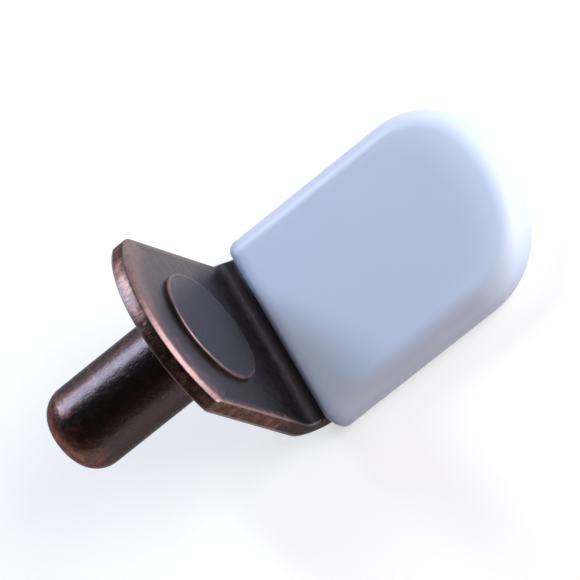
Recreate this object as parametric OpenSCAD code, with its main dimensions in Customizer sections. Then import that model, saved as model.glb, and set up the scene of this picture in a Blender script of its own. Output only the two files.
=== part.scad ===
// Angle shelf support: a pin riveted to a bent strip, with a soft sleeve over the strip's tongue.
// The origin is where the pin's axis crosses the face that bears on the cabinet side.
// The pin points along -X, the tongue along +X, and the plate stands up along +Z.

/* [Pin] */
// Diameter of the pin that plugs into the cabinet side
pin_d = 5; // [3:0.1:6.5]
// Length of the pin, from the plate's bearing face to the tip
pin_reach = 9.2; // [6:0.1:14]
// Radius that rounds the tip
tip_r = 1.6; // [0.3:0.1:2.4]
// Width of the pin's shoulder, which seats on the plate
shoulder = 0.7; // [0.4:0.05:1.1]

/* [Riveted head] */
// Diameter of the head that is pressed flat on the inner face of the plate
head_d = 6.9; // [6:0.1:9]
// Height of the head above the plate
head_h = 0.3; // [0.2:0.05:0.8]
// Radius on the rim of the head
head_rim = 0.12; // [0.05:0.01:0.18]
// Gap left between the pin's tenon and its hole
rivet_gap = 0.02; // [0.01:0.01:0.1]

/* [Bracket] */
// Width of the strip
strip_w = 10.8; // [9:0.1:16]
// Thickness of the strip
strip_t = 1.1; // [0.8:0.05:2]
// Height of the plate's arched edge above the pin's axis
rise = 6.3; // [5.5:0.1:12]
// Height of the arch, from its corners to its crown
arch_h = 2.65; // [0.5:0.05:3.5]
// Depth of the tongue's upper face below the pin's axis
drop = 6.4; // [5.5:0.1:12]
// Inside radius of the bend
bend_r = 0.9; // [0.4:0.05:1.6]
// Radius that the punch rolls onto the arched edge, on the inner face
arch_roll = 0.3; // [0.1:0.02:0.4]
// Radius that the punch rolls onto the strip's sides, on the inner face
side_roll = 0.16; // [0.06:0.02:0.3]
// Radius that tumbling leaves on the edges of the outer face
tumble_r = 0.08; // [0.04:0.01:0.15]

/* [Tongue] */
// Reach of the tongue, from the plate's bearing face to its end
tongue_reach = 17; // [12:0.1:26]
// Radius of the corners of the tongue's end
corner_r = 4; // [2:0.1:4.3]

/* [Sleeve] */
// Thickness of the sleeve's wall
wall = 0.75; // [0.5:0.05:1.5]
// Gap all round between the tongue and the sleeve
fit_gap = 0.05; // [0.02:0.01:0.15]
// Bare length of tongue between the bend and the sleeve's mouth
bare_len = 0.1; // [0.05:0.05:2]
// Radius of the sleeve's long edges
edge_r = 1.2; // [0.7:0.05:1.3]
// Radius of the lip round the sleeve's mouth
lip_r = 0.45; // [0.1:0.05:0.6]

/* [Hidden] */
$fn = 48;

steel_colour = [0.38, 0.30, 0.28];
pin_colour = [0.20, 0.16, 0.15];
sleeve_colour = [0.72, 0.78, 0.88];

// Length by which a cutter runs past what it cuts
overrun = 1;

// Pin and head
shank_r = pin_d / 2;
tenon_r = shank_r - shoulder;
head_r = head_d / 2;
tip_round = min(tip_r, shank_r - shoulder / 2);

// Strip, bend and arch
half_w = strip_w / 2;
bend_x = strip_t + bend_r;
bend_z = bend_r - drop;
arch_r = (half_w * half_w + arch_h * arch_h) / (2 * arch_h);
arch_foot = rise - arch_h - arch_roll;

// End of the tongue: two corner arcs, tangent to the sides and to the crown between them.
// Each corner meets the crown on a line whose sine and cosine are short decimals, and its centre
// lies on a fine grid, so that the arcs share one edge exactly at any size.
function on_grid(size, step) = round(size / step) * step;
crown_sin = 0.28;
crown_cos = 0.96;
crown_angle = asin(crown_sin);
crown_lap = 1.5 * crown_angle;
corner_lap = 45;
corner_swing = on_grid((half_w - corner_r) / crown_sin, 0.01);
corner_y = corner_swing * crown_sin;
end_r = half_w - corner_y;
corner_x = on_grid(tongue_reach - end_r - corner_swing * (1 - crown_cos), 0.0001);
crown_x = corner_x - corner_swing * crown_cos;
tongue_z = -drop - strip_t / 2;

// Sleeve
skin = fit_gap + wall;
sleeve_half_t = strip_t / 2 + skin;
sleeve_half_w = half_w + skin;
sleeve_edge = min(edge_r, sleeve_half_t - tumble_r);
mouth_x = bend_x + bare_len;

// Quarter of a disc, in the first quadrant
module quarter(r) {
    intersection() {
        circle(r);
        square(r);
    }
}

// Half of a flat section: x runs out from the middle to its rounded edge, and y across its thickness
module half_section(half, half_t, top_r, low_r) {
    translate([0, low_r - half_t]) square([half, 2 * half_t - low_r - top_r]);
    translate([0, half_t - top_r]) square([half - top_r, top_r]);
    translate([half - top_r, half_t - top_r]) quarter(top_r);
    translate([0, -half_t]) square([half - low_r, low_r]);
    translate([half - low_r, low_r - half_t]) mirror([0, 1]) quarter(low_r);
}

module whole_section(half, half_t, top_r, low_r) {
    half_section(half, half_t, top_r, low_r);
    mirror([1, 0]) half_section(half, half_t, top_r, low_r);
}

// The strip's own section, whose top is the inner face of the angle
module strip_section() {
    whole_section(half_w, strip_t / 2, side_roll, tumble_r);
}

// The tongue from x = start to its end, grown by the same amount on every side
module paddle(start, grow, top_r, low_r) {
    half_t = strip_t / 2 + grow;
    translate([start, 0, tongue_z]) rotate([90, 0, 90])
        linear_extrude(corner_x - start) whole_section(half_w + grow, half_t, top_r, low_r);
    for (side = [0, 1]) mirror([0, side, 0]) {
        translate([crown_x, 0, tongue_z]) rotate(crown_angle) {
            rotate_extrude(angle = crown_lap, start = -crown_lap)
                translate([corner_swing, 0]) half_section(end_r + grow, half_t, top_r, low_r);
            translate([corner_swing, 0])
                rotate_extrude(angle = corner_lap) half_section(end_r + grow, half_t, top_r, low_r);
        }
        translate([corner_x, corner_y, tongue_z])
            rotate_extrude(angle = corner_lap, start = 90 - corner_lap)
                half_section(end_r + grow, half_t, top_r, low_r);
    }
    intersection() {
        translate([corner_x, -corner_y, tongue_z - half_t]) cube([end_r, 2 * corner_y, 2 * half_t]);
        translate([crown_x, 0, tongue_z - half_t]) cylinder(r = corner_swing + end_r / 2, h = 2 * half_t);
    }
}

// Edge of the lip: x runs out from the middle of the section, and y back from the mouth
module lip_edge(width) {
    square([width - lip_r, lip_r]);
    translate([width - lip_r, lip_r]) mirror([0, 1]) quarter(lip_r);
}

// The slab that ends the sleeve at its mouth, with a rounded lip all round
module lip() {
    flat_y = sleeve_half_w - sleeve_edge;
    flat_z = sleeve_half_t - sleeve_edge;
    translate([mouth_x, 0, tongue_z]) rotate([0, 90, 0]) {
        translate([-flat_z, -flat_y, 0]) cube([2 * flat_z, 2 * flat_y, lip_r]);
        for (a = [0, 1], b = [0, 1]) mirror([a, 0, 0]) mirror([0, b, 0])
            translate([flat_z, flat_y, 0]) rotate_extrude(angle = 90) lip_edge(sleeve_edge);
        for (a = [0, 1]) mirror([a, 0, 0]) translate([flat_z, flat_y, 0])
            rotate([90, 0, 0]) linear_extrude(2 * flat_y) lip_edge(sleeve_edge);
        for (b = [0, 1]) mirror([0, b, 0]) translate([-flat_z, flat_y, 0])
            rotate([90, 0, 90]) linear_extrude(2 * flat_z) lip_edge(sleeve_edge);
    }
}

// Upright plate, with the arched edge rolled over by the punch
module plate() {
    translate([strip_t / 2, 0, bend_z]) mirror([1, -1, 0])
        linear_extrude(arch_foot - bend_z) strip_section();
    intersection() {
        translate([strip_t / 2, 0, arch_foot]) mirror([1, -1, 0])
            linear_extrude(rise + overrun - arch_foot) strip_section();
        translate([strip_t / 2, 0, rise - arch_r]) rotate([0, 90, 0])
            rotate_extrude() half_section(arch_r, strip_t / 2, arch_roll, tumble_r);
    }
}

module bend() {
    translate([bend_x, 0, bend_z]) rotate([-90, 0, 0])
        rotate_extrude(angle = 90, start = 90)
            translate([bend_r + strip_t / 2, 0]) rotate(90) strip_section();
}

// Bent strip: plate, bend and tongue in one section, with the hole that takes the pin
module bracket() {
    color(steel_colour) difference() {
        union() {
            plate();
            bend();
            paddle(bend_x, 0, side_roll, tumble_r);
        }
        translate([-overrun, 0, 0]) rotate([0, 90, 0])
            cylinder(r = tenon_r + rivet_gap, h = strip_t + 2 * overrun);
    }
}

// Turned pin: rounded tip, shank, shoulder, tenon and the head that holds it
module pin() {
    color(pin_colour) rotate([0, 90, 0]) rotate_extrude() {
        translate([0, -pin_reach]) square([shank_r - tip_round, tip_round]);
        translate([shank_r - tip_round, tip_round - pin_reach]) mirror([0, 1]) quarter(tip_round);
        translate([0, tip_round - pin_reach]) square([shank_r, pin_reach - tip_round]);
        square([tenon_r, strip_t]);
        translate([0, strip_t]) square([head_r, head_h - head_rim]);
        translate([0, strip_t + head_h - head_rim]) square([head_r - head_rim, head_rim]);
        translate([head_r - head_rim, strip_t + head_h - head_rim]) quarter(head_rim);
    }
}

// Moulded sleeve: the tongue's form grown outwards, with a slot that the tongue fills
module sleeve() {
    color(sleeve_colour) difference() {
        union() {
            lip();
            paddle(mouth_x + lip_r, skin, sleeve_edge, sleeve_edge);
        }
        paddle(mouth_x - overrun, fit_gap, side_roll + fit_gap, tumble_r + fit_gap);
    }
}

bracket();
pin();
sleeve();
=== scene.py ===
# Angle shelf support: a pin riveted to a bent strip, both in antique copper, and a soft sleeve on the tongue.
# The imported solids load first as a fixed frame, and every piece below is made in that frame.
from math import atan2, cos, exp, pi, radians, sin, sqrt, tan

import bmesh
import bpy
from mathutils import Matrix, Vector


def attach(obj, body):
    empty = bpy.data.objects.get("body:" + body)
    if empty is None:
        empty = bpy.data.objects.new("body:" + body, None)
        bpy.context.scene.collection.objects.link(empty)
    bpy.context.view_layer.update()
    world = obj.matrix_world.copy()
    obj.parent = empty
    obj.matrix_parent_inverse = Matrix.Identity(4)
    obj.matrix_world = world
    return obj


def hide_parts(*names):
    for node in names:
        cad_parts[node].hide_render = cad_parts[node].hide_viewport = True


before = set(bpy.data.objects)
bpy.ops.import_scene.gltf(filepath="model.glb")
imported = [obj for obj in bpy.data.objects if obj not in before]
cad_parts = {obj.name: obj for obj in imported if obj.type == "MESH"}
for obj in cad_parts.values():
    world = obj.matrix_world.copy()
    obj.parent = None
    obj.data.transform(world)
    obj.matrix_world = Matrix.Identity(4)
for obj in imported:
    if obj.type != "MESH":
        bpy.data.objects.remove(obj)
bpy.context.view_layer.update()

mm = 0.001              # shapes are drawn in millimetres and turned to metres when they are done
weldDistance = 0.0005   # points closer than this become one
crispFrom = 40          # degrees from which an edge looks crisp
leastRadius = 0.03      # what a corner keeps where its radius runs out, so that its points stay apart

noiseLow, noiseHigh = 0.3, 0.7  # what a noise mostly runs between

# settings that many nodes share
add = {"operation": "ADD"}
subtract = {"operation": "SUBTRACT"}
multiply = {"operation": "MULTIPLY"}
divide = {"operation": "DIVIDE"}
multiplyAdd = {"operation": "MULTIPLY_ADD"}
larger = {"operation": "MAXIMUM"}
smooth = {"interpolation_type": "SMOOTHSTEP"}
colourMix = {"data_type": "RGBA"}
asNumber = {"data_type": "FLOAT"}


def linear(hexColour):
    # an sRGB hex colour as the linear values that sockets take
    parts = [int(hexColour[i:i + 2], 16) / 255 for i in (1, 3, 5)]
    return [*(p / 12.92 if p <= 0.04045 else ((p + 0.055) / 1.055) ** 2.4 for p in parts), 1]


def addNode(tree, kind, settings=None, inputs=None):
    # one node, with its settings, and each input set to a value or linked to another node's output
    node = tree.nodes.new(kind)
    for name, value in (settings or {}).items():
        setattr(node, name, value)
    for key, value in (inputs or {}).items():
        if isinstance(value, bpy.types.NodeSocket):
            tree.links.new(value, node.inputs[key])
        else:
            node.inputs[key].default_value = value
    return node


def emptyTree(owner):
    # the node tree of a material or the world, without the nodes that it starts with
    owner.use_nodes = True
    owner.node_tree.nodes.clear()
    return owner.node_tree


def newTool(name, sizes):
    # an empty Geometry Nodes tree: a shape in, named sizes, and a shape out
    tree = bpy.data.node_groups.new(name, "GeometryNodeTree")
    tree.interface.new_socket("Shape", in_out="INPUT", socket_type="NodeSocketGeometry")
    for title, kind in sizes.items():
        tree.interface.new_socket(title, in_out="INPUT", socket_type="NodeSocket" + kind)
    tree.interface.new_socket("Shape", in_out="OUTPUT", socket_type="NodeSocketGeometry")
    return tree, addNode(tree, "NodeGroupInput").outputs


def useTool(piece, tree, values):
    # gives the piece a tree as a modifier and sets its inputs by their identifiers
    modifier = piece.modifiers.new(tree.name, "NODES")
    modifier.node_group = tree
    for socket in tree.interface.items_tree:
        if socket.in_out == "INPUT" and socket.name in values:
            modifier[socket.identifier] = values[socket.name]


def newPiece(name, points, faces, attributes, edges=()):
    # a piece from its points and faces, with what is noted at each point
    mesh = bpy.data.meshes.new(name)
    mesh.from_pydata(points, edges, faces)
    for title, values in attributes.items():
        isVector = isinstance(values[0], tuple)
        layer = mesh.attributes.new(title, "FLOAT_VECTOR" if isVector else "FLOAT", "POINT")
        flat = [v for value in values for v in value] if isVector else values
        layer.data.foreach_set("vector" if isVector else "value", flat)
    piece = bpy.data.objects.new(name, mesh)
    bpy.context.scene.collection.objects.link(piece)
    return piece


def closeSkin(mesh):
    # welds the seams and turns every face outward
    work = bmesh.new()
    work.from_mesh(mesh)
    bmesh.ops.remove_doubles(work, verts=work.verts, dist=weldDistance)
    bmesh.ops.recalc_face_normals(work, faces=work.faces)
    work.to_mesh(mesh)
    work.free()


def settle(piece, *finishes):
    # the modifiers' result as a plain closed mesh in metres
    depsgraph = bpy.context.evaluated_depsgraph_get()
    mesh = bpy.data.meshes.new_from_object(
        piece.evaluated_get(depsgraph), preserve_all_data_layers=True, depsgraph=depsgraph)
    piece.modifiers.clear()
    closeSkin(mesh)
    mesh.transform(Matrix.Scale(mm, 4))
    mesh.shade_smooth()
    mesh.set_sharp_from_angle(angle=radians(crispFrom))
    mesh.materials.clear()
    for finish in finishes:
        mesh.materials.append(finish)
    mesh.polygons.foreach_set("material_index", [0] * len(mesh.polygons))
    mesh.name = piece.name
    piece.data = mesh


def endCentres(tip, halfWidth, cornerR, crownR):
    # the corner arcs of a rounded end touch its sides and the crown between them: the crown's x, the corner's x and y
    crownX, cornerY = tip - crownR, halfWidth - cornerR
    return crownX, crownX + sqrt((crownR - cornerR) ** 2 - cornerY ** 2), cornerY


def roundedEnd(tip, halfWidth, cornerR, crownR, cornerSteps=12, crownSteps=20):
    # outline of a rounded end, from its +Y side over the tip to its -Y side
    crownX, cornerX, cornerY = endCentres(tip, halfWidth, cornerR, crownR)
    lean = atan2(cornerY, cornerX - crownX)
    turns = [pi / 2 + (lean - pi / 2) * i / cornerSteps for i in range(cornerSteps)]
    corner = [(cornerX + cornerR * cos(a), cornerY + cornerR * sin(a)) for a in turns]
    sweep = [lean - 2 * lean * i / crownSteps for i in range(crownSteps + 1)]
    crown = [(crownX + crownR * cos(a), crownR * sin(a)) for a in sweep]
    return corner + crown + [(x, -y) for x, y in reversed(corner)]


def bandFaces(count, ringCount):
    # quads between each ring of points and the next
    return [(k * count + i, k * count + (i + 1) % count, (k + 1) * count + (i + 1) % count, (k + 1) * count + i)
            for k in range(ringCount - 1) for i in range(count)]


def cappedFaces(count, ringCount):
    # the same, with one face over the first ring and one over the last
    last = count * (ringCount - 1)
    return bandFaces(count, ringCount) + [list(range(count)), list(range(last, last + count))]


# Antique copper: plated, blackened and rubbed back under a thin lacquer. It is nearly black where it was left and warm
# pink copper where hands and the tumbler reach, so edges and rims glow, flats stay dark, and the gloss is soft.
patina = {
    "blotch": 0.5,          # mm across, where the blackening took unevenly
    "grain": 0.12,          # mm across, coarser than the real plating's grain so that it shows
    "speck": 0.3,           # mm, where the blackening was knocked through
    "speckFrom": 0.78,      # only the noise's few highest peaks make a speck
    "speckTo": 0.86,
    "groove": 0.08,         # mm between the lines that the punch drew through the sheet
    "brownPolish": 0.3,     # what the polish adds to the blotches in turning black to brown,
    "brownFrom": 0.55,      # and where that starts and ends
    "brownTo": 0.9,
    "bareBlotch": 0.5,      # what the blotches, the grain and the grooves add to the polish in baring the copper,
    "bareGrain": 0.35,
    "bareGroove": 0.8,
    "cover": 0.4,           # what the blackening takes up first,
    "bareFrom": 0.25,       # and where that starts and ends
    "bareTo": 1.25,
    "blotchHeight": 2.2,    # heights in the relief, where the grain's is 1
    "grooveHeight": 6,
    "depth": 0.015,         # mm of relief for a height of 1
    "smoother": 0.06,       # how much the roughness falls and rises with the blotches
    "rougher": 0.08,
    "lacquerRoughness": 0.25,
}

# Each finish: its colours from unworn to bare, what they turn to at a low angle, the gloss of the metal and the share
# of lacquer on it, how deep its relief is, and how much the punch's lines and the knocked specks show.
# The strip was rubbed by hand, so it is even and dull:
rubbedCopper = {
    "black": "#494448",
    "brown": "#614b45",
    "bright": "#a68682",
    "glancing": "#faf4f1",
    "roughness": 0.42,
    "lacquer": 0.2,
    "relief": 0.25,
    "lines": 0,
    "specks": 0,
}

# Its sheared edge is torn rather than rubbed, so it is brown, and lined through the sheet:
tornCopper = {
    "black": "#463631",
    "brown": "#74584d",
    "bright": "#d09c90",
    "glancing": "#8a6858",
    "roughness": 0.31,
    "lacquer": 0.24,
    "relief": 0.3,
    "lines": 1,
    "specks": 0,
}

# The pin was plated in a bath of its own, so it is blacker and glossier, with an uneven skin and a few specks:
turnedCopper = {
    "black": "#3c3132",
    "brown": "#674232",
    "bright": "#b47c6e",
    "glancing": "#8a5440",
    "roughness": 0.28,
    "lacquer": 0.3,
    "relief": 1.3,
    "lines": 0,
    "specks": 0.35,
}


def antiqueCopper(name, look):
    material = bpy.data.materials.new(name)
    tree = emptyTree(material)
    place = addNode(tree, "ShaderNodeTexCoord").outputs["Object"]
    polish = addNode(tree, "ShaderNodeAttribute", {"attribute_name": "polish"}).outputs["Fac"]
    blotch = addNode(tree, "ShaderNodeTexNoise", None, {
        "Vector": place, "Scale": 1 / (patina["blotch"] * mm), "Detail": 4, "Roughness": 0.62}).outputs[0]
    grain = addNode(tree, "ShaderNodeTexNoise", None, {
        "Vector": place, "Scale": 1 / (patina["grain"] * mm), "Detail": 2, "Roughness": 0.5}).outputs[0]
    # from black to brown: mostly the blotches
    wear = addNode(tree, "ShaderNodeMath", multiplyAdd, {
        0: polish, 1: patina["brownPolish"], 2: blotch}).outputs[0]
    wear = addNode(tree, "ShaderNodeMapRange", smooth, {
        "Value": wear, "From Min": patina["brownFrom"], "From Max": patina["brownTo"]}).outputs[0]
    dark = addNode(tree, "ShaderNodeMix", colourMix, {
        0: wear, 6: linear(look["black"]), 7: linear(look["brown"])}).outputs[2]
    # to bare copper: mostly the polish, broken up by the blotches, the grain and the specks
    bare = addNode(tree, "ShaderNodeMath", multiplyAdd, {
        0: blotch, 1: patina["bareBlotch"], 2: -patina["cover"]}).outputs[0]
    bare = addNode(tree, "ShaderNodeMath", multiplyAdd, {0: grain, 1: patina["bareGrain"], 2: bare}).outputs[0]
    bare = addNode(tree, "ShaderNodeMath", add, {0: bare, 1: polish}).outputs[0]
    if look["specks"]:
        speck = addNode(tree, "ShaderNodeTexNoise", None, {
            "Vector": place, "Scale": 1 / (patina["speck"] * mm), "Detail": 0}).outputs[0]
        speck = addNode(tree, "ShaderNodeMapRange", smooth, {
            "Value": speck, "From Min": patina["speckFrom"], "From Max": patina["speckTo"],
            "To Max": look["specks"]}).outputs[0]
        bare = addNode(tree, "ShaderNodeMath", add, {0: bare, 1: speck}).outputs[0]
    height = addNode(tree, "ShaderNodeMath", multiplyAdd, {
        0: blotch, 1: patina["blotchHeight"], 2: grain}).outputs[0]
    if look["lines"]:
        # drawn on the flat blank, so that they follow the bend, and stretched through the sheet
        blank = addNode(tree, "ShaderNodeAttribute", {"attribute_name": "blank"}).outputs["Vector"]
        blank = addNode(tree, "ShaderNodeMapping", None, {"Vector": blank, "Scale": (1, 1, 0.2)}).outputs[0]
        groove = addNode(tree, "ShaderNodeTexNoise", None, {
            "Vector": blank, "Scale": 1 / patina["groove"], "Detail": 2, "Roughness": 0.6}).outputs[0]
        height = addNode(tree, "ShaderNodeMath", multiplyAdd, {
            0: groove, 1: patina["grooveHeight"] * look["lines"], 2: height}).outputs[0]
        lined = addNode(tree, "ShaderNodeMath", subtract, {0: groove, 1: 0.5}).outputs[0]
        bare = addNode(tree, "ShaderNodeMath", multiplyAdd, {
            0: lined, 1: patina["bareGroove"] * look["lines"], 2: bare}).outputs[0]
    bare = addNode(tree, "ShaderNodeMapRange", smooth, {
        "Value": bare, "From Min": patina["bareFrom"], "From Max": patina["bareTo"]}).outputs[0]
    colour = addNode(tree, "ShaderNodeMix", colourMix, {0: bare, 6: dark, 7: linear(look["bright"])}).outputs[2]
    rough = addNode(tree, "ShaderNodeMapRange", None, {
        "Value": blotch, "From Min": noiseLow, "From Max": noiseHigh,
        "To Min": look["roughness"] - patina["smoother"], "To Max": look["roughness"] + patina["rougher"]}).outputs[0]
    bump = addNode(tree, "ShaderNodeBump", None, {
        "Strength": look["relief"], "Distance": patina["depth"] * mm, "Height": height}).outputs[0]
    shader = addNode(tree, "ShaderNodeBsdfPrincipled", None, {
        "Base Color": colour, "Metallic": 1, "Roughness": rough, "Specular Tint": linear(look["glancing"]),
        "Coat Weight": look["lacquer"], "Coat Roughness": patina["lacquerRoughness"], "Normal": bump}).outputs[0]
    addNode(tree, "ShaderNodeOutputMaterial", None, {"Surface": shader})
    return material


# Soft PVC, injection moulded: milky and a little translucent, with a satin skin. The steel shows through as a cooler,
# darker field, and the margin outside it is paler, with painted light that turns it nearly white at the tip.
softPvc = {
    # painted light: the tip is paler than the plastic, as if lit through the end
    "tip": "#c4d0df",
    "side": "#b9bfcd",      # browner: partly the strip's edge showing through the side walls, partly painted shade
    "field": "#b0bdce",
    "lip": "#8793ad",       # darker at the mouth: partly the steel showing through the thin lip, partly painted shade from the plate and the bend
    "tipFrom": 0.3,         # share of the way to the tip where the side's colour starts to turn to the painted light, and where it ends
    "tipTo": 0.9,
    "fieldFrom": 0.35,      # mm in from the sleeve's outline, clouding included
    "fieldTo": 2.15,
    "lipShadeTo": 1.1,           # mm in from the mouth, where the darker lip and its painted shade end
    "cloud": 4,             # mm across, slow clouding in the wall, and what it adds to the margin
    "cloudShare": 0.5,
    "skin": 0.25,           # mm across, the satin skin, drawn coarser than it is so that it shows
    "skinDepth": 0.02,      # mm of relief, and the share of it that shows
    "skinRelief": 0.08,
    "roughness": 0.42,
    "unevenness": 0.04,     # how much the roughness falls and rises with the clouding
    "refraction": 1.53,
    "milkiness": 0.5,       # share of the light that goes into the wall
    "softness": 0.6,        # mm that it spreads there
}


def mouldedSoftPvc(look):
    material = bpy.data.materials.new("mouldedSoftPvc")
    tree = emptyTree(material)
    place = addNode(tree, "ShaderNodeTexCoord").outputs["Object"]
    margin = addNode(tree, "ShaderNodeAttribute", {"attribute_name": "margin"}).outputs["Fac"]
    towardsTip = addNode(tree, "ShaderNodeAttribute", {"attribute_name": "towardsTip"}).outputs["Fac"]
    fromMouth = addNode(tree, "ShaderNodeAttribute", {"attribute_name": "fromMouth"}).outputs["Fac"]
    cloud = addNode(tree, "ShaderNodeTexNoise", None, {
        "Vector": place, "Scale": 1 / (look["cloud"] * mm), "Detail": 2}).outputs[0]
    skin = addNode(tree, "ShaderNodeTexNoise", None, {
        "Vector": place, "Scale": 1 / (look["skin"] * mm), "Detail": 2}).outputs[0]
    # towards the tip the margin turns to its painted light
    atLitTip = addNode(tree, "ShaderNodeMapRange", smooth, {
        "Value": towardsTip, "From Min": look["tipFrom"], "From Max": look["tipTo"]}).outputs[0]
    rim = addNode(tree, "ShaderNodeMix", colourMix, {
        0: atLitTip, 6: linear(look["side"]), 7: linear(look["tip"])}).outputs[2]
    edge = addNode(tree, "ShaderNodeMath", multiplyAdd, {0: cloud, 1: look["cloudShare"], 2: margin}).outputs[0]
    overSteel = addNode(tree, "ShaderNodeMapRange", smooth, {
        "Value": edge, "From Min": look["fieldFrom"], "From Max": look["fieldTo"]}).outputs[0]
    colour = addNode(tree, "ShaderNodeMix", colourMix, {
        0: overSteel, 6: rim, 7: linear(look["field"])}).outputs[2]
    # the lip is darker: partly the steel showing through, partly painted shade from the plate and the bend
    pastLipShade = addNode(tree, "ShaderNodeMapRange", smooth, {
        "Value": fromMouth, "From Min": 0, "From Max": look["lipShadeTo"]}).outputs[0]
    colour = addNode(tree, "ShaderNodeMix", colourMix, {0: pastLipShade, 6: linear(look["lip"]), 7: colour}).outputs[2]
    rough = addNode(tree, "ShaderNodeMapRange", None, {
        "Value": cloud, "From Min": noiseLow, "From Max": noiseHigh,
        "To Min": look["roughness"] - look["unevenness"], "To Max": look["roughness"] + look["unevenness"]}).outputs[0]
    bump = addNode(tree, "ShaderNodeBump", None, {
        "Strength": look["skinRelief"], "Distance": look["skinDepth"] * mm, "Height": skin}).outputs[0]
    shader = addNode(tree, "ShaderNodeBsdfPrincipled", None, {
        "Base Color": colour, "Roughness": rough, "IOR": look["refraction"], "Normal": bump,
        "Subsurface Weight": look["milkiness"], "Subsurface Radius": (1, 1, 1),
        "Subsurface Scale": look["softness"] * mm}).outputs[0]
    addNode(tree, "ShaderNodeOutputMaterial", None, {"Surface": shader})
    return material


stripFinish = antiqueCopper("antiqueCopperPlatedStrip", rubbedCopper)
edgeFinish = antiqueCopper("tornCopperPlatedEdge", tornCopper)
pinFinish = antiqueCopper("antiqueCopperPlatedPin", turnedCopper)
sleeveFinish = mouldedSoftPvc(softPvc)
print("finishes mixed")

# The strip is blanked from sheet, pressed to a right angle and riveted to the pin.
# The blank is drawn flat, in rings of points from the middle of its inner face, round the edge, to its outer face:
# s runs along it from the start of the bend to the tongue's end, y across it and n down through the sheet.
# Polish is how far a place is rubbed, from 0, as plated, to 1, bare copper; on the sheared wall it also carries
# painted shade.
strip = {
    "thickness": 1.1,
    "halfWidth": 5.4,
    "rise": 6.3,            # arch above the pin's axis
    "drop": 6.4,            # inner face of the tongue below the pin's axis
    "reach": 17,            # tongue's end from the bearing face
    "bendRadius": 0.9,
    "archRadius": 6.827,
    "archCorner": 0.4,
    "tongueCorner": 4,
    "tongueCrown": 9,
    "holeRadius": 1.82,
    "bevelLean": 47,        # degrees that the punch's bevel leans from the face
    "tumble": 0.08,         # radius that tumbling leaves round the outer face
    "bulge": 0.13,          # metal squeezed out sideways on the inside of the bend
    "drawIn": 0.45,         # the same on its outside, where it draws in, as a share of the bulge
    "tear": 0.02,           # depth of the torn grooves on the sheared edge
    "tearSize": 0.16,
    "facePolish": 0.62,     # where a face meets its rolled or tumbled edge
    "bendShade": 0.65,      # share of the polish that the bend loses, and what it loses besides
    "recess": 0.3,
    "arch": {
        "roll": (0.16, 0.1, 0.35),      # what the punch rolls over: radius at the wall, bevel, radius at the face
        "rollPolish": 0.7,
        "fade": 1.45,                   # how far the polish runs in over the face
        "wallPolish": 0.4,              # along the middle of the sheared wall
        "wallBorderShade": 0.25,               # how much less its borders get: painted shade, so the lit streak keeps to the middle as on a rounded edge
        "rings": (2.6, 1.8, 1.2, 0.75, 0.4, 0.2, 0.08),     # on the inner face, in from the roll
    },
    "side": {
        "roll": (0.07, 0.03, 0.15),
        "rollPolish": 0.9,
        "fade": 0.32,
        "wallPolish": 0.42,
        "wallBorderShade": 0,
        "rings": (2.2, 1.3, 0.8, 0.5, 0.3, 0.15, 0.06),
    },
    "backRings": ((0.16, 0.35), (0.4, 0.1), (0.9, 0.02), (1.8, 0)),     # inset and polish on the outer face
    # where lines of points cross the plate, how many steps the bend takes, and where they cross the tongue past it
    "plateRows": (-5.3, -4.5, -3.6, -2.7, -1.8, -0.9, -0.45),
    "bendRows": 28,
    "tongueRows": (0.3, 1, 2.5, 5, 7.5, 9.6),
}
strip["bendX"] = strip["thickness"] + strip["bendRadius"]
strip["bendZ"] = strip["bendRadius"] - strip["drop"]
strip["bendLength"] = pi / 2 * (strip["bendRadius"] + strip["thickness"] / 2)  # along the middle of the sheet


def rollSection(outer, bevel, inner, lean, steps=4):
    # inset, depth and lean from the face over the roll to the wall
    width = inner * sin(lean) + bevel + outer * (1 - sin(lean))
    depth = inner * (1 - cos(lean)) + bevel * tan(lean) + outer * cos(lean)
    innerTurns = [lean * i / steps for i in range(steps + 1)]
    outerTurns = [lean + (pi / 2 - lean) * i / steps for i in range(steps + 1)]
    section = [(width - inner * sin(a), inner * (1 - cos(a)), a) for a in innerTurns]
    section.append((section[-1][0] - bevel / 2, section[-1][1] + bevel / 2 * tan(lean), lean))
    return section + [(outer * (1 - sin(a)), depth - outer * cos(a), a) for a in outerTurns]


def edgeRings(look, edge, wallSteps=7, tumbleSteps=4):
    # inset, depth, polish and tearing, from the inner face over the roll, the wall and the tumbled corner
    # to the outer face
    lean = radians(look["bevelLean"])
    face, roll, border = look["facePolish"], edge["rollPolish"], edge["wallPolish"] - edge["wallBorderShade"]
    section = rollSection(*edge["roll"], lean)
    wallFrom, wallTo = section[-1][1], look["thickness"] - look["tumble"]
    rings = [(section[0][0] + d, 0, face * exp(-(d / edge["fade"]) ** 2), 0) for d in edge["rings"]]
    for inset, depth, a in section:
        past = max(0, a - lean) / (pi / 2 - lean)  # the tearing starts where the roll turns into the wall
        polish = face + (roll - face) * min(1, a / lean) + (border - roll) * past
        rings.append((inset, depth, polish, min(1, 2 * past)))
    for step in range(1, wallSteps):
        t = step / wallSteps
        # the wall's borders get less polish: painted shade that narrows its lit streak as on a rounded edge
        polish = edge["wallPolish"] - edge["wallBorderShade"] * (2 * t - 1) ** 2
        rings.append((0, wallFrom + (wallTo - wallFrom) * t, polish, 1))
    for step in range(tumbleSteps + 1):
        a = pi / 2 * step / tumbleSteps
        rings.append((look["tumble"] * (1 - cos(a)), wallTo + look["tumble"] * sin(a), face, 0))
    return rings + [(inset, look["thickness"], polish, 0) for inset, polish in look["backRings"]]


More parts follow.
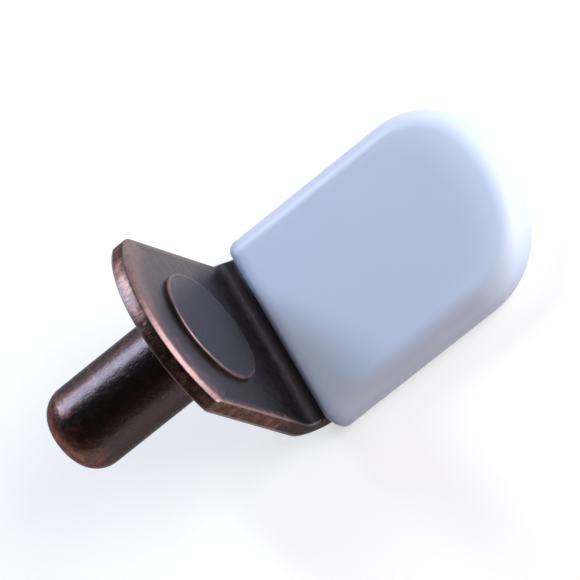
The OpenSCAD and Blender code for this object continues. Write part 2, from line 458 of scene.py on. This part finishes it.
def blankOutline(look, archInset, sideInset, rows, cornerSteps=5, crownSteps=120):
    # the blank's outline at one ring, and how much of each point belongs to the arch
    half = look["halfWidth"] - sideInset
    cornerR = max(leastRadius, look["archCorner"] - (archInset + sideInset) / 3)  # sharper further in
    arch = roundedEnd(look["rise"] - look["bendZ"] - archInset, half, cornerR, look["archRadius"] - archInset,
                      cornerSteps, crownSteps)
    arch = [(-s, -y) for s, y in arch]
    end = roundedEnd(look["bendLength"] + look["reach"] - look["bendX"] - sideInset, half,
                     look["tongueCorner"] - sideInset, look["tongueCrown"] - sideInset)
    outline = arch + [(s, half) for s in rows] + end + [(s, -half) for s in reversed(rows)]
    shares = [min(i, len(arch) - 1 - i, cornerSteps) / cornerSteps for i in range(len(arch))]
    return outline, shares + [0] * (len(outline) - len(arch)), len(arch), len(end)


def capFaces(start, archCount, rowCount, endCount):
    # one flat face at each end of the blank, and a strip of quads between them that can bend
    right = [start + archCount + i for i in range(rowCount)]
    left = [start + archCount + 2 * rowCount + endCount - 1 - i for i in range(rowCount)]
    quads = [[right[i], right[i + 1], left[i + 1], left[i]] for i in range(rowCount - 1)]
    return [[*range(start, right[0] + 1), left[0]], *quads, [*range(right[-1], right[-1] + 1 + endCount), left[-1]]]


def flatBlank(look):
    bend = look["bendLength"]
    rows = [*look["plateRows"], *(bend * i / look["bendRows"] for i in range(look["bendRows"] + 1)),
            *(bend + s for s in look["tongueRows"])]
    points, polish, wall = [], [], []
    rings = list(zip(edgeRings(look, look["arch"]), edgeRings(look, look["side"])))
    for onArch, onSide in rings:
        outline, shares, archCount, endCount = blankOutline(look, onArch[0], onSide[0], rows)
        for (s, y), share in zip(outline, shares):
            depth, rubbed, torn = (side + (arch - side) * share for arch, side in zip(onArch[1:], onSide[1:]))
            inBend = exp(-((s - bend / 2) / bend) ** 4)
            points.append((s, y, depth))
            polish.append(rubbed * (1 - look["bendShade"] * inBend) - look["recess"] * inBend)
            wall.append(torn)
    faces = bandFaces(len(outline), len(rings))
    faces += capFaces(0, archCount, len(rows), endCount)
    faces += capFaces(len(points) - len(outline), archCount, len(rows), endCount)
    return newPiece("bentStrip", points, faces, {"polish": polish, "wall": wall, "blank": points})


def pressTool():
    # tears the sheared edge, bends the blank over the die and punches the hole
    sizes = ("Thickness", "Half Width", "Bend Radius", "Bend Length", "Bend X", "Bend Z", "Bulge", "Draw In", "Tear",
             "Tear Size", "Hole Radius")
    tree, given = newTool("press", {**{size: "Float" for size in sizes}, "Finish": "Material"})
    place = addNode(tree, "GeometryNodeInputPosition").outputs[0]
    wall = addNode(tree, "GeometryNodeInputNamedAttribute", asNumber, {"Name": "wall"}).outputs[0]
    # grooves run through the sheet, so the pattern hardly changes with depth, and they go inward, because a noise
    # seldom passes 0.75
    squash = addNode(tree, "ShaderNodeVectorMath", multiply, {0: place, 1: (1, 1, 0.12)}).outputs[0]
    fine = addNode(tree, "ShaderNodeMath", divide, {0: 1, 1: given["Tear Size"]}).outputs[0]
    noise = addNode(tree, "ShaderNodeTexNoise", {"noise_dimensions": "3D"}, {
        "Vector": squash, "Scale": fine, "Detail": 2, "Roughness": 0.6}).outputs[0]
    groove = addNode(tree, "ShaderNodeMath", subtract, {0: noise, 1: 0.75}).outputs[0]
    groove = addNode(tree, "ShaderNodeMath", multiply, {0: groove, 1: given["Tear"]}).outputs[0]
    groove = addNode(tree, "ShaderNodeMath", multiply, {0: groove, 1: wall}).outputs[0]
    normal = addNode(tree, "GeometryNodeInputNormal").outputs[0]
    shift = addNode(tree, "ShaderNodeVectorMath", {"operation": "SCALE"}, {0: normal, "Scale": groove}).outputs[0]
    torn = addNode(tree, "GeometryNodeSetPosition", None, {"Geometry": given["Shape"], "Offset": shift}).outputs[0]
    # the bend: its angle comes from the length along the blank, its radius from the depth
    parts = addNode(tree, "ShaderNodeSeparateXYZ", None, {0: place}).outputs
    along, across, deep = parts[0], parts[1], parts[2]
    share = addNode(tree, "ShaderNodeMath", {"operation": "DIVIDE", "use_clamp": True}, {
        0: along, 1: given["Bend Length"]}).outputs[0]
    turn = addNode(tree, "ShaderNodeMath", multiply, {0: share, 1: pi / 2}).outputs[0]
    radius = addNode(tree, "ShaderNodeMath", add, {0: given["Bend Radius"], 1: deep}).outputs[0]
    cosTurn = addNode(tree, "ShaderNodeMath", {"operation": "COSINE"}, {0: turn}).outputs[0]
    sinTurn = addNode(tree, "ShaderNodeMath", {"operation": "SINE"}, {0: turn}).outputs[0]
    inward = addNode(tree, "ShaderNodeMath", multiply, {0: radius, 1: cosTurn}).outputs[0]
    downward = addNode(tree, "ShaderNodeMath", multiply, {0: radius, 1: sinTurn}).outputs[0]
    past = addNode(tree, "ShaderNodeMath", subtract, {0: along, 1: given["Bend Length"]}).outputs[0]
    past = addNode(tree, "ShaderNodeMath", larger, {0: past, 1: 0}).outputs[0]
    before = addNode(tree, "ShaderNodeMath", multiply, {0: along, 1: -1}).outputs[0]
    before = addNode(tree, "ShaderNodeMath", larger, {0: before, 1: 0}).outputs[0]
    x = addNode(tree, "ShaderNodeMath", subtract, {0: given["Bend X"], 1: inward}).outputs[0]
    x = addNode(tree, "ShaderNodeMath", add, {0: x, 1: past}).outputs[0]
    z = addNode(tree, "ShaderNodeMath", subtract, {0: given["Bend Z"], 1: downward}).outputs[0]
    z = addNode(tree, "ShaderNodeMath", add, {0: z, 1: before}).outputs[0]
    # the squeezed inside of the bend swells sideways, most at its middle, and the stretched outside draws in
    bell = addNode(tree, "ShaderNodeMath", multiply, {0: share, 1: pi}).outputs[0]
    bell = addNode(tree, "ShaderNodeMath", {"operation": "SINE"}, {0: bell}).outputs[0]
    bell = addNode(tree, "ShaderNodeMath", {"operation": "POWER"}, {0: bell, 1: 1.5}).outputs[0]
    outside = addNode(tree, "ShaderNodeMath", multiply, {0: given["Draw In"], 1: -1}).outputs[0]
    swell = addNode(tree, "ShaderNodeMapRange", None, {
        "Value": deep, "From Min": 0, "From Max": given["Thickness"], "To Min": 1, "To Max": outside}).outputs[0]
    swell = addNode(tree, "ShaderNodeMath", multiply, {0: swell, 1: bell}).outputs[0]
    swell = addNode(tree, "ShaderNodeMath", multiply, {0: swell, 1: given["Bulge"]}).outputs[0]
    swell = addNode(tree, "ShaderNodeMath", divide, {0: swell, 1: given["Half Width"]}).outputs[0]
    swell = addNode(tree, "ShaderNodeMath", add, {0: swell, 1: 1}).outputs[0]
    y = addNode(tree, "ShaderNodeMath", multiply, {0: across, 1: swell}).outputs[0]
    bent = addNode(tree, "ShaderNodeCombineXYZ", None, {0: x, 1: y, 2: z}).outputs[0]
    bent = addNode(tree, "GeometryNodeSetPosition", None, {"Geometry": torn, "Position": bent}).outputs[0]
    # the punch is round enough to look smooth, and long enough to pass both faces
    punch = addNode(tree, "GeometryNodeMeshCylinder", None, {
        "Vertices": 96, "Radius": given["Hole Radius"], "Depth": 6}).outputs[0]
    punch = addNode(tree, "GeometryNodeTransform", None, {"Geometry": punch, "Rotation": (0, pi / 2, 0)}).outputs[0]
    holed = addNode(tree, "GeometryNodeMeshBoolean", {"operation": "DIFFERENCE", "solver": "EXACT"}, {
        "Mesh 1": bent, "Mesh 2": punch}).outputs[0]
    real = addNode(tree, "GeometryNodeRealizeInstances", None, {"Geometry": holed}).outputs[0]
    done = addNode(tree, "GeometryNodeSetMaterial", None, {"Geometry": real, "Material": given["Finish"]}).outputs[0]
    addNode(tree, "NodeGroupOutput", None, {"Shape": done})
    return tree


bentStrip = flatBlank(strip)
useTool(bentStrip, pressTool(), {
    "Thickness": strip["thickness"], "Half Width": strip["halfWidth"], "Bend Radius": strip["bendRadius"],
    "Bend Length": strip["bendLength"], "Bend X": strip["bendX"], "Bend Z": strip["bendZ"], "Bulge": strip["bulge"],
    "Draw In": strip["drawIn"], "Tear": strip["tear"], "Tear Size": strip["tearSize"],
    "Hole Radius": strip["holeRadius"], "Finish": stripFinish})
settle(bentStrip, stripFinish, edgeFinish)
torn = [value.value for value in bentStrip.data.attributes["wall"].data]
for face in bentStrip.data.polygons:  # the sheared edge has a finish of its own
    face.material_index = int(all(torn[i] > 0.5 for i in face.vertices))
print("strip pressed and bent:", len(bentStrip.data.polygons), "faces")

# The pin is turned from bar: a rounded tip, a shank, and a tenon that is pressed into the head on the inner face.
pin = {
    "reach": 9.2,
    "radius": 2.5,
    "tipRadius": 1.6,
    "tenonRadius": 1.8,
    "headRadius": 3.45,
    "headTop": 1.4,         # flat of the head from the bearing face
    "headRim": 0.12,
    "segments": 160,
    "ripple": 0.012,        # slow waves left under the plating
    "rippleSize": 1.3,
    "seed": 3,
    # polish of the tip's flat, where its rounding starts and ends, just past that and on along the shank
    "flatPolish": 0.46,
    "tipPolish": 0.64,
    "tipEndPolish": 0.4,
    "leadPolish": 0.36,     # fades within a few rings
    "shankPolish": 0.07,
    "shoulderPolish": 0.1,
    "footPolish": 0.05,     # where the head's side meets the plate
    "rimPolish": 0.58,
    "nearPolish": 0.3,      # close to the rim, on the head's side and on its flat, and a little further in
    "inPolish": 0.1,
    "headPolish": 0.03,
}


def pinProfile(look, flatSteps=4, tipSteps=16, shankSteps=24, rimSteps=6, headSteps=8):
    # x, radius and polish along the turned outline, from the middle of the tip to the middle of the head
    reach, radius, tipR, tenon = look["reach"], look["radius"], look["tipRadius"], look["tenonRadius"]
    top, head, rim, seat = look["headTop"], look["headRadius"], look["headRim"], strip["thickness"]
    profile = [(-reach, (radius - tipR) * i / flatSteps, look["flatPolish"]) for i in range(flatSteps)]
    for i in range(tipSteps + 1):
        a = pi / 2 * i / tipSteps
        profile.append((tipR * (1 - cos(a)) - reach, radius - tipR + tipR * sin(a),
                        look["tipEndPolish"] + (look["tipPolish"] - look["tipEndPolish"]) * cos(a)))
    profile += [((tipR - reach) * (1 - i / shankSteps), radius, look["leadPolish"] * exp(-i / 3) + look["shankPolish"])
                for i in range(1, shankSteps)]
    profile += [(0, radius, look["shoulderPolish"]), (0, tenon, 0), (seat, tenon, 0)]
    # rings close beside the rim keep its polish narrow
    profile += [(seat, head, look["footPolish"]), (seat + 0.06, head, look["footPolish"])]
    profile.append((top - rim - 0.03, head, look["nearPolish"]))
    for i in range(rimSteps + 1):
        a = pi / 2 * i / rimSteps
        profile.append((top - rim + rim * sin(a), head - rim + rim * cos(a), look["rimPolish"]))
    flat = head - rim - 0.3
    profile += [(top, head - rim - 0.07, look["nearPolish"]), (top, flat, look["inPolish"])]
    return profile + [(top, flat * (1 - i / headSteps), look["headPolish"]) for i in range(1, headSteps + 1)]


def latheTool():
    # turns a profile drawn in the XY plane about X and closes it
    tree, given = newTool("lathe", {
        "Segments": "Int", "Radius": "Float", "Ripple": "Float", "Ripple Size": "Float", "Seed": "Int",
        "Finish": "Material"})
    count = addNode(tree, "GeometryNodeAttributeDomainSize", {"component": "MESH"}, {
        "Geometry": given["Shape"]}).outputs[0]
    columns = addNode(tree, "ShaderNodeMath", add, {0: given["Segments"], 1: 1}).outputs[0]
    grid = addNode(tree, "GeometryNodeMeshGrid", None, {"Vertices X": columns, "Vertices Y": count}).outputs[0]
    index = addNode(tree, "GeometryNodeInputIndex").outputs[0]
    row = addNode(tree, "ShaderNodeMath", {"operation": "MODULO"}, {0: index, 1: count}).outputs[0]
    column = addNode(tree, "ShaderNodeMath", divide, {0: index, 1: count}).outputs[0]
    column = addNode(tree, "ShaderNodeMath", {"operation": "FLOOR"}, {0: column}).outputs[0]
    # the last column is the first again
    column = addNode(tree, "ShaderNodeMath", {"operation": "MODULO"}, {0: column, 1: given["Segments"]}).outputs[0]
    turn = addNode(tree, "ShaderNodeMath", divide, {0: column, 1: given["Segments"]}).outputs[0]
    turn = addNode(tree, "ShaderNodeMath", multiply, {0: turn, 1: 2 * pi}).outputs[0]
    place = addNode(tree, "GeometryNodeInputPosition").outputs[0]
    drawn = addNode(tree, "GeometryNodeSampleIndex", {"data_type": "FLOAT_VECTOR"}, {
        "Geometry": given["Shape"], "Value": place, "Index": row}).outputs[0]
    polish = addNode(tree, "GeometryNodeInputNamedAttribute", asNumber, {"Name": "polish"}).outputs[0]
    polish = addNode(tree, "GeometryNodeSampleIndex", asNumber, {
        "Geometry": given["Shape"], "Value": polish, "Index": row}).outputs[0]
    drawn = addNode(tree, "ShaderNodeSeparateXYZ", None, {0: drawn}).outputs
    spin = addNode(tree, "ShaderNodeCombineXYZ", None, {0: turn}).outputs[0]
    spoke = addNode(tree, "ShaderNodeCombineXYZ", None, {0: drawn[0], 2: drawn[1]}).outputs[0]
    turned = addNode(tree, "ShaderNodeVectorRotate", {"rotation_type": "EULER_XYZ"}, {
        "Vector": spoke, "Rotation": spin}).outputs[0]
    shaped = addNode(tree, "GeometryNodeSetPosition", None, {"Geometry": grid, "Position": turned}).outputs[0]
    shaped = addNode(tree, "GeometryNodeStoreNamedAttribute", {"data_type": "FLOAT", "domain": "POINT"}, {
        "Geometry": shaped, "Name": "polish", "Value": polish}).outputs[0]
    # slow waves in the radius, mostly inward, because a noise seldom passes 0.6, that fade out towards the axis
    fine = addNode(tree, "ShaderNodeMath", divide, {0: 1, 1: given["Ripple Size"]}).outputs[0]
    noise = addNode(tree, "ShaderNodeTexNoise", {"noise_dimensions": "4D"}, {
        "Vector": place, "W": given["Seed"], "Scale": fine, "Detail": 2}).outputs[0]
    wave = addNode(tree, "ShaderNodeMath", subtract, {0: noise, 1: 0.6}).outputs[0]
    wave = addNode(tree, "ShaderNodeMath", multiply, {0: wave, 1: given["Ripple"]}).outputs[0]
    wave = addNode(tree, "ShaderNodeMath", divide, {0: wave, 1: given["Radius"]}).outputs[0]
    outward = addNode(tree, "ShaderNodeVectorMath", multiply, {0: place, 1: (0, 1, 1)}).outputs[0]
    shift = addNode(tree, "ShaderNodeVectorMath", {"operation": "SCALE"}, {0: outward, "Scale": wave}).outputs[0]
    shaped = addNode(tree, "GeometryNodeSetPosition", None, {"Geometry": shaped, "Offset": shift}).outputs[0]
    closed = addNode(tree, "GeometryNodeMergeByDistance", None, {
        "Geometry": shaped, "Distance": weldDistance}).outputs[0]
    real = addNode(tree, "GeometryNodeRealizeInstances", None, {"Geometry": closed}).outputs[0]
    done = addNode(tree, "GeometryNodeSetMaterial", None, {"Geometry": real, "Material": given["Finish"]}).outputs[0]
    addNode(tree, "NodeGroupOutput", None, {"Shape": done})
    return tree


profile = pinProfile(pin)
turnedPin = newPiece("turnedPin", [(x, r, 0) for x, r, p in profile], [], {"polish": [p for x, r, p in profile]},
                     [(i, i + 1) for i in range(len(profile) - 1)])
useTool(turnedPin, latheTool(), {
    "Segments": pin["segments"], "Radius": pin["radius"], "Ripple": pin["ripple"], "Ripple Size": pin["rippleSize"],
    "Seed": pin["seed"], "Finish": pinFinish})
settle(turnedPin, pinFinish, stripFinish)
for face in turnedPin.data.polygons:  # the head is rubbed and lacquered with the strip
    face.material_index = int(face.center.x > strip["thickness"] * mm)
print("pin turned:", len(turnedPin.data.polygons), "faces")

# The sleeve is moulded in soft milky plastic and pushed over the tongue.
sleeve = {
    "mouth": 2.1,
    "tip": 17.8,
    "halfWidth": 6.2,
    "middle": -6.95,        # height of the tongue's middle
    "halfThickness": 1.35,
    "edgeRadius": 1.2,
    "lipRadius": 0.45,
    "cornerRadius": 4.8,
    "crownRadius": 9.8,
    "slotGap": 0.05,
    "slotTopEdge": 0.21,    # radii of the slot's edges: the tongue's own, and the gap
    "slotLowEdge": 0.13,
    "slotFrom": 0.5,        # the cutter starts well before the mouth
    "flatRings": (0.15, 0.4, 0.75, 1.2, 1.8, 2.6),  # in from the long edge on the flats,
    "lipShare": 0.6,        # and the share of that from the lip
    "tipFrom": 9,           # from here to the tip the pale margin and its painted light widen, by this share of itself
    "tipLightShare": 1.5,
}


def sleeveOutline(mouth, mouthR, tip, halfWidth, cornerR, crownR, mouthSteps=6, sideSteps=10):
    # the sleeve's outline at one height, from one corner of its mouth over the tip to the other
    end = roundedEnd(tip, halfWidth, cornerR, crownR, cornerSteps=16, crownSteps=24)
    sideFrom = mouth + mouthR
    sides = [sideFrom + (end[0][0] - sideFrom) * i / sideSteps for i in range(1, sideSteps)]
    turns = [pi / 2 * i / mouthSteps for i in range(mouthSteps + 1)]
    corner = [(sideFrom - mouthR * cos(a), halfWidth - mouthR + mouthR * sin(a)) for a in turns]
    near = corner + [(x, halfWidth) for x in sides]
    return near + end + [(x, -y) for x, y in reversed(near)]


def marginAt(look, x, y):
    # how far a point lies inside the sleeve's outline, leaving out the mouth
    crownX, cornerX, cornerY = endCentres(look["tip"], look["halfWidth"], look["cornerRadius"], look["crownRadius"])
    if x < cornerX:
        return look["halfWidth"] - abs(y)
    if abs(y) * (cornerX - crownX) > cornerY * (x - crownX):
        return look["cornerRadius"] - sqrt((x - cornerX) ** 2 + (abs(y) - cornerY) ** 2)
    return look["crownRadius"] - sqrt((x - crownX) ** 2 + y ** 2)


def sleeveLevels(look, steps=14):
    # height over the sleeve's middle, inset from its sides and inset from its mouth, over the edge to the flat
    half, edge, lip = look["halfThickness"], look["edgeRadius"], look["lipRadius"]
    levels = []
    for i in range(steps + 1):
        a = pi / 2 * i / steps
        height = half - edge + edge * sin(a)
        lipInset = lip - sqrt(max(0, lip ** 2 - max(0, height - (half - lip)) ** 2))
        levels.append((height, edge * (1 - cos(a)), lipInset))
    return levels + [(half, edge + extra, lip + extra * look["lipShare"]) for extra in look["flatRings"]]


def softSleeveBody(look):
    levels = sleeveLevels(look)
    rings = [(-height, *insets) for height, *insets in reversed(levels)] + levels
    points, margin, towardsTip = [], [], []
    for height, inset, lipInset in rings:
        outline = sleeveOutline(look["mouth"] + lipInset, max(leastRadius, look["lipRadius"] - lipInset),
                                look["tip"] - inset, look["halfWidth"] - inset, look["cornerRadius"] - inset,
                                look["crownRadius"] - inset)
        tipward = [max(0, (x - look["tipFrom"]) / (look["tip"] - look["tipFrom"])) for x, y in outline]
        points += [(x, y, look["middle"] + height) for x, y in outline]
        # near the tip the margin is narrowed, which widens the painted light there
        margin += [marginAt(look, x, y) / (1 + look["tipLightShare"] * t) for (x, y), t in zip(outline, tipward)]
        towardsTip += tipward
    fromMouth = [x - look["mouth"] for x, y, z in points]
    return newPiece("softSleeve", points, cappedFaces(len(outline), len(rings)),
                    {"margin": margin, "fromMouth": fromMouth, "towardsTip": towardsTip})


def slotCutter(look, steps=4):
    # the tongue's own form, grown by the gap
    gap, low, top = look["slotGap"], look["slotLowEdge"], look["slotTopEdge"]
    halfHeight = strip["thickness"] / 2 + gap
    turns = [pi / 2 * i / steps for i in range(steps + 1)]
    rings = [(low * (1 - sin(a)) - halfHeight, low * (1 - cos(a))) for a in reversed(turns)]
    rings += [(halfHeight - top * (1 - sin(a)), top * (1 - cos(a))) for a in turns]
    points = []
    for height, inset in rings:
        grow = gap - inset
        half = strip["halfWidth"] + grow
        end = roundedEnd(strip["reach"] + grow, half, strip["tongueCorner"] + grow, strip["tongueCrown"] + grow)
        outline = [(look["slotFrom"], half), *end, (look["slotFrom"], -half)]
        points += [(x, y, look["middle"] + height) for x, y in outline]
    return newPiece("slotCutter", points, cappedFaces(len(outline), len(rings)), {})


softSleeve = softSleeveBody(sleeve)
cutter = slotCutter(sleeve)
for shape in (softSleeve, cutter):  # the cut comes out right only between shapes that face outward
    closeSkin(shape.data)
slot = softSleeve.modifiers.new("slot", "BOOLEAN")
slot.object = cutter
slot.operation = "DIFFERENCE"
slot.solver = "EXACT"
settle(softSleeve, sleeveFinish)
bpy.data.objects.remove(cutter)
print("sleeve moulded:", len(softSleeve.data.polygons), "faces")

for piece, node, finish in ((bentStrip, "bracket", "plated_strip"), (turnedPin, "pin", "plated_pin"),
                            (softSleeve, "sleeve", "soft_sleeve")):
    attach(piece, "root")
    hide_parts(node)

# The floor is matte white paper, which takes a soft shadow and no gloss. The room round it is dim above, lighter lower
# down, and as white as the paper at the horizon, a little warm on the -Y side and cool on the +Y side.
studio = {
    "floorHeight": -8.31,   # mm
    "floorHalf": 1.5,       # metres
    "floorColour": "#cacaca",
    "floorLift": 0.52,      # white that the camera and the metal see on top of the floor's own, near the part,
    "farLift": 0.9,         # and where the lamps no longer reach
    "farFrom": 0.06,        # metres from the middle where that change starts and ends
    "farTo": 0.25,
    "overhead": 0.09,
    "wall": 0.36,
    "horizon": 1,
    "horizonColour": "#ffffff",
    "horizonFrom": 0.05,    # height, from 0 at the horizon to 1 overhead, where its white starts to fade, and ends
    "horizonTo": 0.16,
    "wallTo": 0.1,          # height where the wall starts to dim, and where it is as dim as overhead
    "overheadFrom": 0.8,
    "warmSide": "#e0bea8",
    "coolSide": "#fcfbff",
    "warmTo": -0.9,         # the same scale along Y, where the warm side ends and the cool side starts
    "coolFrom": 0.2,
}


def matteWhitePaper(look):
    material = bpy.data.materials.new("matteWhitePaper")
    tree = emptyTree(material)
    rays = addNode(tree, "ShaderNodeLightPath").outputs
    seen = addNode(tree, "ShaderNodeMath", larger, {
        0: rays["Is Camera Ray"], 1: rays["Is Glossy Ray"]}).outputs[0]
    seen = addNode(tree, "ShaderNodeMath", larger, {
        0: seen, 1: rays["Is Transmission Ray"]}).outputs[0]
    away = addNode(tree, "ShaderNodeTexCoord").outputs["Object"]
    away = addNode(tree, "ShaderNodeVectorMath", {"operation": "LENGTH"}, {0: away}).outputs["Value"]
    lift = addNode(tree, "ShaderNodeMapRange", smooth, {
        "Value": away, "From Min": look["farFrom"], "From Max": look["farTo"],
        "To Min": look["floorLift"], "To Max": look["farLift"]}).outputs[0]
    lift = addNode(tree, "ShaderNodeMath", multiply, {0: seen, 1: lift}).outputs[0]
    surface = addNode(tree, "ShaderNodeBsdfDiffuse", None, {"Color": linear(look["floorColour"])}).outputs[0]
    glow = addNode(tree, "ShaderNodeEmission", None, {"Strength": lift}).outputs[0]
    both = addNode(tree, "ShaderNodeAddShader", None, {0: surface, 1: glow}).outputs[0]
    addNode(tree, "ShaderNodeOutputMaterial", None, {"Surface": both})
    return material


def softRoom(look):
    world = bpy.data.worlds.new("softRoom")
    tree = emptyTree(world)
    way = addNode(tree, "ShaderNodeTexCoord").outputs["Generated"]
    way = addNode(tree, "ShaderNodeSeparateXYZ", None, {0: way}).outputs
    side = addNode(tree, "ShaderNodeMapRange", None, {
        "Value": way[1], "From Min": look["warmTo"], "From Max": look["coolFrom"]}).outputs[0]
    colour = addNode(tree, "ShaderNodeMix", colourMix, {
        0: side, 6: linear(look["warmSide"]), 7: linear(look["coolSide"])}).outputs[2]
    raised = addNode(tree, "ShaderNodeMapRange", smooth, {
        "Value": way[2], "From Min": look["horizonFrom"], "From Max": look["horizonTo"]}).outputs[0]
    colour = addNode(tree, "ShaderNodeMix", colourMix, {
        0: raised, 6: linear(look["horizonColour"]), 7: colour}).outputs[2]
    low = addNode(tree, "ShaderNodeMapRange", None, {
        "Value": raised, "To Min": look["horizon"], "To Max": look["wall"]}).outputs[0]
    dimmed = addNode(tree, "ShaderNodeMapRange", smooth, {
        "Value": way[2], "From Min": look["wallTo"], "From Max": look["overheadFrom"],
        "To Min": 0, "To Max": look["wall"] - look["overhead"]}).outputs[0]
    strength = addNode(tree, "ShaderNodeMath", subtract, {0: low, 1: dimmed}).outputs[0]
    room = addNode(tree, "ShaderNodeBackground", None, {"Color": colour, "Strength": strength}).outputs[0]
    addNode(tree, "ShaderNodeOutputWorld", None, {"Surface": room})
    return world


corners = [(x * studio["floorHalf"], y * studio["floorHalf"], studio["floorHeight"] * mm)
           for x, y in ((-1, -1), (1, -1), (1, 1), (-1, 1))]
floor = newPiece("floor", corners, [(0, 1, 2, 3)], {})
floor.data.materials.append(matteWhitePaper(studio))
bpy.context.scene.world = softRoom(studio)

# Each lamp: the way to it, the way its width runs, its distance, width and height in mm, how bright it looks, and
# its colour. The streak box draws the line of light along the pin, and the end box lights the arch's rim.
lamps = {
    "streakBox": {"towards": (-0.325, 0.746, 0.58), "along": (1, 0, 0), "distance": 260, "width": 62, "height": 130,
                  "brightness": 21, "colour": "#d0e1ff"},
    "topBox": {"towards": (0.7, -0.2, 0.67), "along": (0, 1, 0), "distance": 300, "width": 136, "height": 110,
               "brightness": 6.5, "colour": "#ffffff"},
    "backBox": {"towards": (-0.1, 0.97, 0.22), "along": (1, 0, 0), "distance": 300, "width": 230, "height": 130,
                "brightness": 1.3, "colour": "#ffffff"},
    "endBox": {"towards": (0.94, -0.122, 0.27), "along": (0, 1, 0), "distance": 300, "width": 318, "height": 180,
               "brightness": 6.3, "colour": "#f8f3fd"},
}
for name, look in lamps.items():
    light = bpy.data.lights.new(name, "AREA")
    light.shape = "RECTANGLE"
    light.size, light.size_y = look["width"] * mm, look["height"] * mm
    light.energy = look["brightness"] * pi * light.size * light.size_y
    light.color = linear(look["colour"])[:3]
    lamp = bpy.data.objects.new(name, light)
    bpy.context.scene.collection.objects.link(lamp)
    back, along = Vector(look["towards"]).normalized(), Vector(look["along"])
    level = (along - back * back.dot(along)).normalized()
    lamp.location = back * look["distance"] * mm
    lamp.rotation_mode = "QUATERNION"
    lamp.rotation_quaternion = Matrix((level, back.cross(level), back)).transposed().to_quaternion()
    lamp.visible_camera = False

camera = {
    "aim": (5.42, -0.25, -2.04),    # mm
    "azimuth": 37.055,
    "elevation": 59.498,
    "roll": -71.664,
    "distance": 300,                # mm
    "lens": 351.58,                 # mm
    "clip": (0.01, 10),             # metres
}
cameraData = bpy.data.cameras.new("camera")
cameraData.lens = camera["lens"]
cameraData.clip_start, cameraData.clip_end = camera["clip"]
eye = bpy.data.objects.new("camera", cameraData)
bpy.context.scene.collection.objects.link(eye)
aimed = Matrix.Identity(3)
for axis, degrees in (("Z", camera["azimuth"]), ("X", 90 - camera["elevation"]), ("Z", camera["roll"])):
    aimed = aimed @ Matrix.Rotation(radians(degrees), 3, axis)
eye.location = (Vector(camera["aim"]) + aimed @ Vector((0, 0, camera["distance"]))) * mm
eye.rotation_mode = "QUATERNION"
eye.rotation_quaternion = aimed.to_quaternion()
bpy.context.scene.camera = eye
bpy.context.scene.view_settings.view_transform = "Standard"
print("floor, lamps and camera set")
